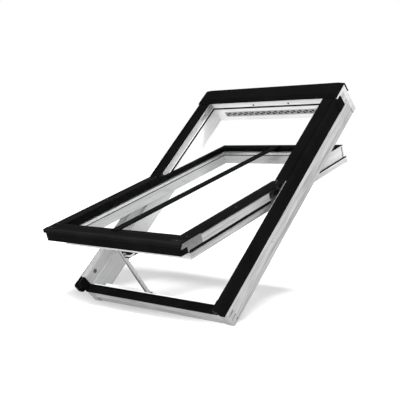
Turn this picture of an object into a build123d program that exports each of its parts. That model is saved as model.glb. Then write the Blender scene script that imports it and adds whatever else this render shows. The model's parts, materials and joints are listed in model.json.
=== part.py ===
from build123d import *
import os
from math import atan2, cos, degrees, hypot, radians, sin

os.makedirs("parts", exist_ok=True)

# Centre-pivot roof window, shown open on its drive chain.
# Local coordinates of frame and closed sash: u to the right seen from outside, v up the slope
# from the outer face of the sill, w outward from the lower edge of the side cladding.

# The roof and the sash
roof_pitch = 45.0
sash_opening = 27.0

# Frame timber
frame_width = 780.0            # over the side cladding
frame_length = 1160.0
cladding_sheet = 1.5
jamb_thickness = 41.5
frame_back = -75.0             # room side of the timber
frame_front = 48.0             # outer side of the timber
stop_plane = 7.0               # plane where sash and frame meet
lower_rebate = 15.0            # the lower half closes onto a ledge
upper_stop = 6.5               # the upper half closes against a stop from the room
head_height = 49.0
head_cap = 26.0                # outer part of the head, over the ends of the jambs
head_raise = 80.0              # length of the raised cheeks beside the head cover
cheek_width = 10.0
lining_plane = -48.0           # on the room side of this plane the timber is set back
lining_depth = 3.0
head_stop = 6.0
sill_height = 33.0
sill_top = 8.0
sill_bevel = 4.0
sill_bevel_depth = 18.0
tenon_foot = 2.0
tenon_thickness = 8.0
tenon_spacing = 21.0
tenon_centre = -32.0
tenon_clearance = 0.1
tenon_recess = 2.5

# Curved slide hinge: its axis lies outside the window plane
pivot_offset = 13.5            # above the middle of the frame
pivot_v = frame_length / 2 + pivot_offset
pivot_w = 80.0
hinge_reach = 46.5             # half length of the hinge pocket
track_inner = 42.0
track_wall = 4.0
track_foot = 7.0               # from the ledge of the rebate to the hinge plate
tongue_thickness = 11.4
track_half_angle = 35.0
tongue_half_angle = 26.0
hinge_plate = 4.0
hinge_clearance = 0.3
slide_clearance = 1.5

# Sash timber, as the sash lies when closed
sash_side_gap = 4.0
sash_end_gap = 4.0
sill_gap = 5.0
sash_room_face = -24.0
stile_width = 26.0
shoulder_gap = 6.5             # between the frame ledge and the sash shoulder
lower_overlap = 14.0           # how far the lower shoulder reaches over the ledge
lower_sash_front = 49.0
upper_sash_front = 54.5
upper_step = 5.0               # between the gasket stop and the upper sash body
upper_body_inset = 6.0
sash_foot = 2.0                # lower end of the sash timber
shoulder_stop = 37.0           # from the end of the shoulder to the hinge pocket
top_rail_width = 37.0
bottom_rail_width = 28.0

# Glazing
glass_seat = 15.0
tape = 1.0
pane = 4.0
glass_gap = 12.0
glass_cover = 8.0              # how far the glass runs under the covers
glass_margin = 2.0
gasket = 2.0
gasket_width = 6.0
spacer_width = 7.0
spacer_margin = 4.0
cover_setback = 1.0

# Sash covers
lower_cover_front = 68.0
cover_gap = 3.0                # between the lower covers and the ridge of the frame cladding
lower_cover_end = -31.0
cover_split_offset = 3.5       # the covers part just above the hinge axis
cover_split = pivot_v + cover_split_offset
cover_joint = 0.3
cover_lip = 4.5
nose_depth = 9.0               # the bottom cover slopes down to its nose
nose_drop = 10.0
nose_height = 4.0
apron_setback = 4.0
apron_inset = 8.0
apron_end = 18.0
upper_cover_overhang = 0.5
bar_width = 40.0
bar_thickness = 4.0
bar_lap = 17.0

# Frame cladding
profile_front = 50.0           # top of the upright side flange
profile_ridge = 63.0
ridge_inset = 9.0
profile_width = 12.0
profile_inner = frame_width / 2 - profile_width
profile_foot = 9.0
profile_low = -27.0
flange_corner = 23.0           # below this the lower end of the flange is cut at a slant
flange_slant = 13.0
frame_cover_front = 60.0
frame_cover_lap = 21.5         # beyond the stop, over the sash
frame_cover_gap = 6.0
frame_cover_offset = 6.5
frame_cover_low = pivot_v + frame_cover_offset
head_cover_front = 69.0
head_cover_depth = 82.0
head_cover_reach = 8.0
head_fold_depth = 56.0
head_cover_low = frame_length - head_cover_depth
head_cover_fold = frame_length - head_fold_depth
head_cover_high = frame_length + head_cover_reach
head_cover_slope = 31.0        # width of the slope at each end
head_cover_edge = 64.5
head_cover_overhang = 1.0
head_cover_step = 7.0
ear_length = 47.0
ear_high = head_cover_fold
ear_low = ear_high - ear_length
ear_front = 53.0
ear_round = 7.0
sill_plate_low = -15.0
sill_plate_high = 22.0
sill_plate_hem = 4.0
upstand_front = 61.0
end_cap_length = 20.0
end_cap_low = 26.0
end_cap_front = 60.0

# Air inlet in the head
inlet_margin = 55.0            # from the reveal to the end of the grille
inlet_low = -51.0
inlet_high = -23.0
inlet_cells = 17
inlet_bar = 5.0
inlet_strut = 3.0
inlet_frame = 4.5
grille_thickness = 3.0
grille_proud = 1.5
inlet_depth = 24.0
flap_thickness = 1.6
flap_pin = 1.5
flap_pin_length = 5.0
duct_count = 6
duct_spacing = 26.0
duct_height = 10.0

# Chain drive
chain_u = -66.0
outlet_v = 49.0
outlet_w = -40.0
chain_pin_v = 68.0             # pin on the closed sash
chain_pin_w = -33.0
chain_links = 20
link_height = 14.0
link_plate = 1.8
link_gap = 6.0
link_corner = 3.5
chain_pin = 2.4
pin_head = 0.8
drive_gap = 7.0                # from the left jamb
drive_depth = 38.0
drive_low = -72.0
drive_end_margin = 10.0

# Planes
slope = radians(roof_pitch)
WINDOW = Plane(origin=(0, 0, 0), x_dir=(1, 0, 0), z_dir=(0, -sin(slope), cos(slope)))
sash_pitch = radians(roof_pitch - sash_opening)
TURNED = Plane(
    origin=WINDOW.from_local_coords((0, pivot_v, pivot_w)),
    x_dir=(1, 0, 0),
    z_dir=(0, -sin(sash_pitch), cos(sash_pitch)),
)
SASH = Plane(
    origin=TURNED.from_local_coords((0, -pivot_v, -pivot_w)),
    x_dir=TURNED.x_dir,
    z_dir=TURNED.z_dir,
)

# Derived sizes
timber_half = frame_width / 2 - cladding_sheet
reveal_half = timber_half - jamb_thickness
stop_half = reveal_half - upper_stop
track_outer = track_inner + 2 * (track_wall + hinge_clearance) + tongue_thickness
inlet_half = reveal_half - inlet_margin
inlet_pitch = (2 * inlet_half - 2 * grille_thickness) / inlet_cells
inlet_cell = inlet_pitch - inlet_bar
frame_cover_inner = stop_half - frame_cover_lap
frame_cover_outer = profile_inner - frame_cover_gap
lower_cover_half = profile_inner - cover_gap
rebate_half = reveal_half + lower_rebate
rebate_change = pivot_v + hinge_reach
head_inner = frame_length - head_height
head_stop_inner = head_inner - head_stop
sash_half = reveal_half - sash_side_gap
stile_inner = sash_half - stile_width
shoulder = stop_plane + shoulder_gap
shoulder_half = sash_half + lower_overlap
upper_body_half = sash_half - upper_body_inset
upper_shoulder = stop_plane - upper_step
sash_head = head_inner - sash_end_gap
upper_body_head = head_stop_inner - sash_end_gap
top_rail_inner = upper_body_head - top_rail_width
bottom_rail_low = sill_height + sill_gap
bottom_rail_inner = bottom_rail_low + bottom_rail_width
shoulder_end = pivot_v - hinge_reach - shoulder_stop
upper_cover_half = upper_body_half + upper_cover_overhang
glass_low = glass_seat + tape
glass_high = glass_low + 2 * pane + glass_gap
lip_end = glass_high + gasket
glass_half = stile_inner + glass_cover
cover_inner_low = bottom_rail_low - cover_setback
glass_foot = cover_inner_low - glass_cover
glass_head = top_rail_inner + glass_cover
rebate_wall_half = glass_half + glass_margin
rebate_wall_foot = glass_foot - glass_margin
rebate_wall_head = glass_head + glass_margin


def across(base, v):
    """Plane across the slope at v: sketch x is the width, y points outward, extrusion runs down."""
    return Plane(origin=base.from_local_coords((0, v, 0)), x_dir=base.x_dir, z_dir=-base.y_dir)


def along(base, u):
    """Plane along the slope at u: sketch x runs up the slope, y points outward, extrusion to +u."""
    return Plane(origin=base.from_local_coords((u, 0, 0)), x_dir=base.y_dir, z_dir=base.x_dir)


def level(base, w):
    """Plane parallel to the window at w: sketch x is the width, y runs up the slope."""
    return base.offset(w)


def box_sketch(u_range, w_range):
    """Rectangle between two pairs of coordinates, for use inside a sketch block."""
    with Locations((u_range[0], w_range[0])):
        Rectangle(u_range[1] - u_range[0], w_range[1] - w_range[0], align=Align.MIN)


def ring(base, half, foot, head, width, low, high):
    """Rectangular ring parallel to the window, closed all round."""
    with BuildPart() as loop:
        with BuildSketch(level(base, low)):
            box_sketch((-half, half), (foot, head))
            with Locations((0, (foot + head) / 2)):
                Rectangle(2 * (half - width), head - foot - 2 * width, mode=Mode.SUBTRACT)
        extrude(amount=high - low)
    return loop


def write(name, piece):
    piece.part.label = name
    export_step(piece.part, f"parts/{name}.step")


def write_pair(name, right):
    """The right piece and its mirror image on the left."""
    with BuildPart() as left:
        mirror(right.part, about=Plane.YZ)
    write(f"{name}_right", right)
    write(f"{name}_left", left)


# Jambs: ledge below the hinge, stop above it, mortises for the sill and head tenons
tenon_places = [tenon_centre - tenon_spacing / 2, tenon_centre + tenon_spacing / 2]
sill_tenon_v = (tenon_foot, sill_height)
jamb_end = frame_length - head_cap
fixing_hole_v = 360.0
fixing_hole_w = -26.0
fixing_hole_radius = 3.0
fixing_hole_depth = 25.0
bush_v = 77.0
bush_w = 31.0
bush_radius = 10.0
bush_depth = 8.0
bush_rim = 1.0
kerf_depth = 6.0
screw_radius = 3.5
screw_depth = 5.0
screw_head = 2.0
screw_head_sides = 6
screw_w = -67.0
screw_margin = 4.0
screw_places = (sill_height - screw_margin, jamb_end - head_cap)
with BuildPart() as jamb_right:
    with BuildSketch(across(WINDOW, jamb_end)):
        Polygon(
            (reveal_half, frame_back),
            (timber_half - lining_depth, frame_back),
            (timber_half - lining_depth, lining_plane),
            (timber_half, lining_plane),
            (timber_half, frame_front),
            (stop_half, frame_front),
            (stop_half, stop_plane),
            (reveal_half, stop_plane),
            align=None,
        )
    extrude(amount=jamb_end)
    with BuildSketch(across(WINDOW, rebate_change)):
        box_sketch((stop_half, rebate_half), (stop_plane, frame_front))
    extrude(amount=rebate_change, mode=Mode.SUBTRACT)
    with BuildSketch(along(WINDOW, reveal_half)):
        for tenon_w in tenon_places:
            box_sketch(
                (sill_tenon_v[0] - tenon_clearance, sill_tenon_v[1] + tenon_clearance),
                (tenon_w - tenon_thickness / 2, tenon_w + tenon_thickness / 2),
            )
    extrude(amount=jamb_thickness, mode=Mode.SUBTRACT)
    with BuildSketch(across(WINDOW, jamb_end)):
        box_sketch((timber_half - kerf_depth, timber_half), (0, cladding_sheet))
    extrude(amount=jamb_end, mode=Mode.SUBTRACT)
    with BuildSketch(along(WINDOW, timber_half)):
        with Locations((fixing_hole_v, fixing_hole_w)):
            Circle(fixing_hole_radius)
    extrude(amount=-fixing_hole_depth, mode=Mode.SUBTRACT)
    with BuildSketch(along(WINDOW, timber_half - lining_depth)):
        for screw_v in screw_places:
            with Locations((screw_v, screw_w)):
                Circle(screw_radius)
    extrude(amount=-screw_depth, mode=Mode.SUBTRACT)
    with BuildSketch(along(WINDOW, rebate_half)):
        with Locations((bush_v, bush_w)):
            Circle(bush_radius)
    extrude(amount=bush_depth, mode=Mode.SUBTRACT)
write_pair("frame_jamb", jamb_right)

# Screw heads in the outer sides of the jambs
with BuildPart() as frame_screws:
    for side in (-1, 1):
        with BuildSketch(along(WINDOW, side * (timber_half - lining_depth - screw_depth))):
            for screw_v in screw_places:
                with Locations((screw_v, screw_w)):
                    RegularPolygon(screw_radius, screw_head_sides)
        extrude(amount=side * screw_head)
write("frame_screws", frame_screws)

# Bushes in the lower rebates
with BuildPart() as bush_right:
    with BuildSketch(along(WINDOW, rebate_half + bush_depth)):
        with Locations((bush_v, bush_w)):
            Circle(bush_radius)
            Circle(bush_radius / 2, mode=Mode.SUBTRACT)
    extrude(amount=-bush_depth - bush_rim)
write_pair("bolt_bush", bush_right)

# Sill: low timber with a bevelled inner edge and through tenons
with BuildPart() as frame_sill:
    with BuildSketch(along(WINDOW, -reveal_half)):
        Polygon(
            (lining_depth, frame_back),
            (sill_height, frame_back),
            (sill_height, sill_top - sill_bevel_depth),
            (sill_height - sill_bevel, sill_top),
            (0, sill_top),
            (0, lining_plane),
            (lining_depth, lining_plane),
            align=None,
        )
    extrude(amount=2 * reveal_half)
    with BuildSketch(along(WINDOW, tenon_recess - timber_half)):
        for tenon_w in tenon_places:
            box_sketch(sill_tenon_v, (tenon_w - tenon_thickness / 2, tenon_w + tenon_thickness / 2))
    extrude(amount=2 * (timber_half - tenon_recess))
write("frame_sill", frame_sill)

# Head: pocket for the air inlet, with ducts through to the outside
inlet_clearance = 0.3
pocket_margin = 2.0
pocket_low = inlet_low + pocket_margin
pocket_high = inlet_high - pocket_margin
pocket_centre = (pocket_low + pocket_high) / 2
pocket_half = inlet_half - pocket_margin
duct_pitch = 2 * pocket_half / duct_count
head_timber_front = head_cover_edge - cladding_sheet
cheek_front = head_cover_front - head_cover_step - cladding_sheet
pocket_back = head_inner + inlet_depth
flap_gap = 1.0
flap_v = head_inner + grille_thickness + flap_gap
flap_w = pocket_low + flap_pin + flap_gap
pin_clearance = 0.05
with BuildPart() as frame_head:
    with BuildSketch(across(WINDOW, jamb_end)):
        Polygon(
            (-reveal_half, frame_back),
            (reveal_half, frame_back),
            (reveal_half, stop_plane),
            (stop_half, stop_plane),
            (stop_half, frame_front),
            (-stop_half, frame_front),
            (-stop_half, stop_plane),
            (-reveal_half, stop_plane),
            align=None,
        )
    extrude(amount=jamb_end - head_stop_inner)
    with BuildSketch(across(WINDOW, frame_length)):
        box_sketch((-timber_half, timber_half), (frame_back, head_timber_front))
    extrude(amount=head_cap)
    with BuildSketch(across(WINDOW, jamb_end)):
        for cheek_u in (-timber_half, timber_half - cheek_width):
            box_sketch((cheek_u, cheek_u + cheek_width), (frame_front, cheek_front))
    extrude(amount=head_raise - head_cap)
    with BuildSketch(across(WINDOW, head_inner)):
        box_sketch((-reveal_half, reveal_half), (frame_back, stop_plane))
    extrude(amount=head_stop, mode=Mode.SUBTRACT)
    with BuildSketch(across(WINDOW, head_inner + grille_thickness - grille_proud)):
        box_sketch(
            (-inlet_half - inlet_clearance, inlet_half + inlet_clearance),
            (inlet_low - inlet_clearance, inlet_high + inlet_clearance),
        )
    extrude(amount=grille_thickness, mode=Mode.SUBTRACT)
    with BuildSketch(across(WINDOW, pocket_back)):
        box_sketch((-pocket_half, pocket_half), (pocket_low, pocket_high))
    extrude(amount=inlet_depth, mode=Mode.SUBTRACT)
    with BuildSketch(across(WINDOW, frame_length)):
        with Locations((0, pocket_centre)):
            with GridLocations(duct_pitch, 1, duct_count, 1):
                SlotOverall(duct_pitch - duct_spacing, duct_height)
    extrude(amount=head_height - inlet_depth, mode=Mode.SUBTRACT)
    with BuildSketch(along(WINDOW, -pocket_half - flap_pin_length)):
        with Locations((flap_v, flap_w)):
            Circle(flap_pin + pin_clearance)
    extrude(amount=2 * (pocket_half + flap_pin_length), mode=Mode.SUBTRACT)
write("frame_head", frame_head)

# Grille over the inlet: a row of cells, each crossed by a diagonal strut
cell_low = inlet_low + inlet_frame
cell_high = inlet_high - inlet_frame
cell_height = cell_high - cell_low
strut_angle = degrees(atan2(cell_height, inlet_cell))
with BuildPart() as vent_grille:
    with BuildSketch(across(WINDOW, head_inner + grille_thickness - grille_proud)):
        box_sketch((-inlet_half, inlet_half), (inlet_low, inlet_high))
        with Locations((0, (inlet_low + inlet_high) / 2)):
            with GridLocations(inlet_pitch, 1, inlet_cells, 1):
                Rectangle(inlet_cell, cell_height, mode=Mode.SUBTRACT)
                Rectangle(hypot(inlet_cell, cell_height), inlet_strut, rotation=-strut_angle)
    extrude(amount=grille_thickness)
write("vent_grille", vent_grille)

# Flap behind the grille, on end pins, standing open
flap_length = pocket_high - flap_w - 2 * flap_gap
flap_half = pocket_half - flap_gap
pin_half_span = pocket_half + flap_pin_length - flap_gap / 2
with BuildPart() as vent_flap:
    with BuildSketch(along(WINDOW, -flap_half)):
        with Locations((flap_v, flap_w)):
            Circle(flap_pin)
        flap_face = flap_w - flap_pin
        box_sketch((flap_v, flap_v + flap_length), (flap_face, flap_face + flap_thickness))
    extrude(amount=2 * flap_half)
    with BuildSketch(along(WINDOW, -pin_half_span)):
        with Locations((flap_v, flap_w)):
            Circle(flap_pin)
    extrude(amount=2 * pin_half_span)
write("vent_flap", vent_flap)

# Buffers on the head stop
buffer_left = -90.0
buffer_right = 107.0
buffer_w = 20.0
buffer_radius = 4.0
buffer_height = 1.5
with BuildPart() as head_buffers:
    with BuildSketch(across(WINDOW, head_stop_inner)):
        with Locations((buffer_left, buffer_w), (buffer_right, buffer_w)):
            Circle(buffer_radius)
    extrude(amount=buffer_height)
write("head_buffers", head_buffers)

# Gasket against the upper stop and the head stop
seal_height = 4.5
seal_lip = 2.0
seal_lip_height = 3.0
with BuildPart() as frame_seal_right:
    with BuildSketch(across(WINDOW, head_inner)):
        box_sketch((stop_half - seal_lip, reveal_half), (stop_plane - seal_height, stop_plane))
    extrude(amount=head_inner - rebate_change)
    with BuildSketch(across(WINDOW, head_stop_inner)):
        box_sketch((stop_half - seal_lip, stop_half), (stop_plane, stop_plane + seal_lip_height))
    extrude(amount=head_stop_inner - rebate_change)
write_pair("frame_seal", frame_seal_right)
with BuildPart() as frame_seal_head:
    with BuildSketch(along(WINDOW, seal_lip - stop_half)):
        box_sketch((head_stop_inner - seal_lip, head_inner), (stop_plane - seal_height, stop_plane))
        box_sketch(
            (head_stop_inner - seal_lip, head_stop_inner), (stop_plane, stop_plane + seal_lip_height)
        )
    extrude(amount=2 * (stop_half - seal_lip))
write("frame_seal_head", frame_seal_head)


def sorted_pair(first, second):
    return (min(first, second), max(first, second))


def ribbed_sketch(face, direction, low, high, ribs):
    """Section of a ribbed strip that stands on a side face; the ribs point in a direction."""
    base_thickness = 0.8
    rib_height = 0.7
    rib_width = (high - low) / (2 * ribs - 1)
    box_sketch(sorted_pair(face, face + direction * base_thickness), (low, high))
    for number in range(ribs):
        rib_low = low + 2 * number * rib_width
        tip = face + direction * (base_thickness + rib_height)
        box_sketch(sorted_pair(face, tip), (rib_low, rib_low + rib_width))


# Ribbed strips on the upper stops, the left one with a striker plate let in
strip_low = 16.0
strip_high = 40.0
strip_ribs = 5
striker_depth = 160.0
striker_low = frame_length - striker_depth
striker_length = 42.0
striker_gap = 0.3
striker_margin = 2.0
striker_thickness = 1.5
strip_gap = 4.0
strip_bottom = rebate_change + strip_gap
striker_w = (strip_low + striker_margin, strip_high - striker_margin)
with BuildPart() as frame_strip_right:
    with BuildSketch(across(WINDOW, head_stop_inner)):
        ribbed_sketch(stop_half, -1, strip_low, strip_high, strip_ribs)
    extrude(amount=head_stop_inner - strip_bottom)
with BuildPart() as frame_strip_left:
    mirror(frame_strip_right.part, about=Plane.YZ)
    with BuildSketch(across(WINDOW, striker_low + striker_length)):
        box_sketch((-stop_half, -stop_half + 2 * striker_thickness), (strip_low, strip_high))
    extrude(amount=striker_length, mode=Mode.SUBTRACT)
write("frame_strip_right", frame_strip_right)
write("frame_strip_left", frame_strip_left)
with BuildPart() as striker_plate:
    with BuildSketch(across(WINDOW, striker_low + striker_length - striker_gap)):
        box_sketch((-stop_half, striker_thickness - stop_half), striker_w)
    extrude(amount=striker_length - 2 * striker_gap)
write("striker_plate", striker_plate)

# Side profile of the cladding: upright flange, ridge and a foot under it, with an ear at the upper end
flange_out = frame_width / 2
ridge_u = flange_out - ridge_inset
sheet = cladding_sheet
with BuildPart() as profile_right:
    with BuildSketch(across(WINDOW, ear_high)):
        Polygon(
            (flange_out - kerf_depth, 0),
            (flange_out, 0),
            (flange_out, profile_front),
            (ridge_u, profile_ridge),
            (profile_inner, profile_ridge),
            (profile_inner, frame_front),
            (profile_inner + profile_foot, frame_front),
            (profile_inner + profile_foot, frame_front + sheet),
            (profile_inner + sheet, frame_front + sheet),
            (profile_inner + sheet, profile_ridge - sheet),
            (ridge_u - sheet / 2, profile_ridge - sheet),
            (timber_half, profile_front - sheet / 2),
            (timber_half, sheet),
            (flange_out - kerf_depth, sheet),
            align=None,
        )
    extrude(amount=ear_high - profile_low)
    with BuildSketch(across(WINDOW, ear_high)):
        box_sketch((profile_inner, flange_out), (frame_front, profile_ridge))
    extrude(amount=ear_high - head_cover_low + sheet, mode=Mode.SUBTRACT)
    with BuildSketch(along(WINDOW, profile_inner)):
        Polygon(
            (profile_low, 0),
            (profile_low + flange_slant, 0),
            (profile_low, flange_corner),
            align=None,
        )
    extrude(amount=profile_width, mode=Mode.SUBTRACT)
    with BuildSketch(along(WINDOW, flange_out)):
        with Locations(((ear_low + ear_high) / 2, ear_front / 2)):
            Rectangle(ear_high - ear_low, ear_front)
        fillet(vertices().sort_by(Axis.X)[-2:].sort_by(Axis.Y)[-1], ear_round)
    extrude(amount=sheet)
write_pair("frame_profile", profile_right)

# Grey weather strip on the inner wall of each side profile, below the hinge
weather_strip_foot = 5.5
weather_strip_tip = 2.5
weather_strip_margin = 0.5
weather_strip_gap = 3.0
weather_strip_high = frame_cover_low - weather_strip_gap
with BuildPart() as weather_strip_right:
    with BuildSketch(across(WINDOW, weather_strip_high)):
        Polygon(
            (profile_inner, frame_front),
            (profile_inner, profile_ridge - weather_strip_margin),
            (profile_inner - weather_strip_tip, profile_ridge - weather_strip_margin),
            (profile_inner - weather_strip_foot, frame_front),
            align=None,
        )
    extrude(amount=weather_strip_high - sill_plate_high)
write_pair("weather_strip", weather_strip_right)

# Flat covers beside the upper half of the sash
with BuildPart() as frame_cover_right:
    with BuildSketch(across(WINDOW, head_cover_fold)):
        box_sketch((frame_cover_inner, frame_cover_outer), (frame_cover_front - sheet, frame_cover_front))
        box_sketch((frame_cover_outer - sheet, frame_cover_outer), (frame_front, frame_cover_front))
        box_sketch((stop_half + sheet, stop_half + 2 * sheet), (frame_front, frame_cover_front))
    extrude(amount=head_cover_fold - frame_cover_low)
write_pair("frame_cover", frame_cover_right)


def hood(shrink):
    """Solid under the outer or the inner surface of the head cover."""
    half = timber_half + head_cover_overhang
    flat = half - head_cover_slope
    with BuildPart() as solid:
        with BuildSketch(across(WINDOW, head_cover_high - shrink)):
            Polygon(
                (-half, 0),
                (-half, head_cover_edge - shrink),
                (-flat, head_cover_front - shrink),
                (flat, head_cover_front - shrink),
                (half, head_cover_edge - shrink),
                (half, 0),
                align=None,
            )
        extrude(amount=head_cover_high - head_cover_low)
        with BuildSketch(along(WINDOW, -half)):
            Polygon(
                (head_cover_low - shrink, 0),
                (head_cover_low - shrink, head_cover_front - head_cover_step - shrink),
                (head_cover_low, head_cover_front - head_cover_step - shrink),
                (head_cover_fold, head_cover_front - shrink),
                (head_cover_high, head_cover_front - shrink),
                (head_cover_high, 0),
                align=None,
            )
        extrude(amount=2 * half, mode=Mode.INTERSECT)
    return solid


# Head cover: folded sheet with a step in front, a slope at each end and a flange down the back
hood_outer = hood(0)
hood_inner = hood(sheet)
head_flange_low = 20.0
head_front_low = frame_cover_front
with BuildPart() as head_cover:
    add(hood_outer.part)
    add(hood_inner.part, mode=Mode.SUBTRACT)
    with BuildSketch(along(WINDOW, -timber_half - head_cover_overhang)):
        box_sketch((head_cover_low, head_cover_fold), (0, head_front_low))
        box_sketch((head_cover_fold, head_cover_high), (0, head_flange_low))
    extrude(amount=2 * (timber_half + head_cover_overhang), mode=Mode.SUBTRACT)
write("head_cover", head_cover)

# Sill cladding: plate over the sill with a hem in front and an upstand at each end
sill_plate_half = rebate_half - cover_joint
with BuildPart() as sill_cladding:
    with BuildSketch(along(WINDOW, -sill_plate_half)):
        Polygon(
            (sill_plate_low, sill_top + sheet),
            (sill_plate_high, sill_top + sheet),
            (sill_plate_high, sill_top),
            (sill_plate_low + sheet, sill_top),
            (sill_plate_low + sheet, sill_top - sill_plate_hem),
            (sill_plate_low, sill_top - sill_plate_hem),
            align=None,
        )
    extrude(amount=2 * sill_plate_half)
    for side in (-1, 1):
        with BuildSketch(along(WINDOW, side * sill_plate_half)):
            Polygon(
                (sill_plate_low, sill_top),
                (sill_plate_high, sill_top),
                (sill_plate_high, upstand_front),
                (0, upstand_front),
                (sill_plate_low, frame_front),
                align=None,
            )
        extrude(amount=-side * sheet)
write("sill_cladding", sill_cladding)

# Plugs that close the lower ends of the side profiles
with BuildPart() as end_cap_right:
    with BuildSketch(across(WINDOW, 0)):
        box_sketch((rebate_half, timber_half), (end_cap_low, frame_front))
    extrude(amount=end_cap_length)
    with BuildSketch(across(WINDOW, sill_plate_high)):
        box_sketch((rebate_half, profile_inner), (frame_front, end_cap_front))
    extrude(amount=sill_plate_high + end_cap_length)
write_pair("profile_end_cap", end_cap_right)

# Hinge on the frame: plate in the rebate with a curved track
track_margin = 3.0
track_top = frame_front - track_margin
slot_face = upper_body_half + hinge_plate + slide_clearance
plate_low = stop_plane + track_foot
tongue_plate_low = plate_low + track_wall
with BuildPart() as hinge_track_right:
    with BuildSketch(along(WINDOW, rebate_half - hinge_plate)):
        box_sketch(
            (pivot_v - hinge_reach + track_margin, pivot_v + hinge_reach - track_margin),
            (plate_low, track_top),
        )
    extrude(amount=hinge_plate)
    with BuildSketch(along(WINDOW, slot_face)):
        for inner in (track_inner, track_outer - track_wall):
            with BuildLine():
                start = -90 - track_half_angle
                outside = CenterArc((pivot_v, pivot_w), inner + track_wall, start, 2 * track_half_angle)
                inside = CenterArc((pivot_v, pivot_w), inner, start, 2 * track_half_angle)
                Line(outside @ 0, inside @ 0)
                Line(outside @ 1, inside @ 1)
            make_face()
    extrude(amount=rebate_half - hinge_plate - slot_face)
write_pair("hinge_track", hinge_track_right)

# Hinge on the sash: side plate with a tongue that slides round the track
tongue_outer = track_outer - track_wall - hinge_clearance
tongue_inner = track_inner + track_wall + hinge_clearance
sash_plate_half = 28.0
brake_offset = 20.0
brake_v = shoulder_end + brake_offset
brake_w = 30.0
brake_radius = 10.0
brake_height = 12.0
brake_arm = 7.0
brake_arm_height = 5.0
brake_arm_bow = 8.0
with BuildPart() as hinge_tongue_right:
    with BuildSketch(along(SASH, upper_body_half)):
        box_sketch((pivot_v - sash_plate_half, pivot_v + sash_plate_half), (tongue_plate_low, track_top))
        box_sketch((shoulder_end + cover_joint, pivot_v), (tongue_plate_low, track_top))
    extrude(amount=hinge_plate)
    with BuildSketch(along(SASH, upper_body_half + hinge_plate)):
        with Locations((brake_v, brake_w)):
            Circle(brake_radius)
    extrude(amount=brake_height)
    with BuildSketch(along(SASH, upper_body_half + hinge_plate)):
        with BuildLine():
            arm = ThreePointArc(
                (brake_v - brake_radius, brake_w + brake_arm),
                (brake_v + brake_radius / 2, brake_w - brake_arm_bow),
                (pivot_v - hinge_reach, brake_w + brake_arm / 2),
            )
        SlotArc(arm, brake_arm)
    extrude(amount=brake_arm_height)
    with BuildSketch(along(SASH, upper_body_half + hinge_plate)):
        with BuildLine():
            start = -90 - tongue_half_angle
            outside = CenterArc((pivot_v, pivot_w), tongue_outer, start, 2 * tongue_half_angle)
            inside = CenterArc((pivot_v, pivot_w), tongue_inner, start, 2 * tongue_half_angle)
            Line(outside @ 0, inside @ 0)
            Line(outside @ 1, inside @ 1)
        make_face()
    extrude(amount=rebate_half - 2 * hinge_plate - slide_clearance - upper_body_half)
write_pair("hinge_tongue", hinge_tongue_right)

# Sash stiles: shouldered below the hinge, slim above it, rebated for the glass
corner_block_high = 97.0
upper_seal_height = 4.0
upper_seal_low = rebate_change + hinge_reach / 2
with BuildPart() as stile_right:
    with BuildSketch(across(SASH, sash_head)):
        Polygon(
            (stile_inner, sash_room_face),
            (sash_half, sash_room_face),
            (sash_half, upper_shoulder),
            (upper_body_half, upper_shoulder),
            (upper_body_half, upper_sash_front),
            (rebate_wall_half, upper_sash_front),
            (rebate_wall_half, glass_seat),
            (stile_inner, glass_seat),
            align=None,
        )
    extrude(amount=sash_head - sash_foot)
    with BuildSketch(across(SASH, sash_head)):
        box_sketch((stile_inner, sash_half), (upper_shoulder, upper_sash_front))
    extrude(amount=sash_head - upper_body_head, mode=Mode.SUBTRACT)
    with BuildSketch(across(SASH, cover_split)):
        box_sketch((rebate_wall_half, upper_body_half), (lower_sash_front, upper_sash_front))
    extrude(amount=cover_split - sash_foot, mode=Mode.SUBTRACT)
    with BuildSketch(across(SASH, shoulder_end)):
        box_sketch((upper_body_half, sash_half), (upper_shoulder, lower_sash_front))
        box_sketch((sash_half, shoulder_half), (shoulder, lower_sash_front))
    extrude(amount=shoulder_end - sash_foot)
    with BuildSketch(across(SASH, bottom_rail_low)):
        box_sketch((stile_inner, sash_half), (sash_room_face, shoulder))
    extrude(amount=bottom_rail_low - sash_foot, mode=Mode.SUBTRACT)
    with BuildSketch(across(SASH, corner_block_high)):
        box_sketch((sash_half, shoulder_half), (shoulder, lower_sash_front))
    extrude(amount=corner_block_high - sash_foot, mode=Mode.SUBTRACT)
    with BuildSketch(across(SASH, rebate_wall_foot)):
        box_sketch((stile_inner, rebate_wall_half), (shoulder, glass_seat))
    extrude(amount=rebate_wall_foot - sash_foot, mode=Mode.SUBTRACT)
    with BuildSketch(across(SASH, sash_head)):
        box_sketch((upper_body_half, sash_half), (upper_shoulder - upper_seal_height, upper_shoulder))
    extrude(amount=sash_head - upper_seal_low, mode=Mode.SUBTRACT)
write_pair("sash_stile", stile_right)

# Bottom rail: thin web between the shoulder over the sill and the room-side part
with BuildPart() as sash_bottom_rail:
    with BuildSketch(along(SASH, -stile_inner)):
        Polygon(
            (sash_foot, shoulder),
            (bottom_rail_low, shoulder),
            (bottom_rail_low, sash_room_face),
            (bottom_rail_inner, sash_room_face),
            (bottom_rail_inner, glass_seat),
            (rebate_wall_foot, glass_seat),
            (rebate_wall_foot, lower_sash_front),
            (sash_foot, lower_sash_front),
            align=None,
        )
    extrude(amount=2 * stile_inner)
    with BuildSketch(along(SASH, -rebate_wall_half)):
        box_sketch((sash_foot, rebate_wall_foot), (shoulder, lower_sash_front))
    extrude(amount=2 * rebate_wall_half)
write("sash_bottom_rail", sash_bottom_rail)

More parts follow.
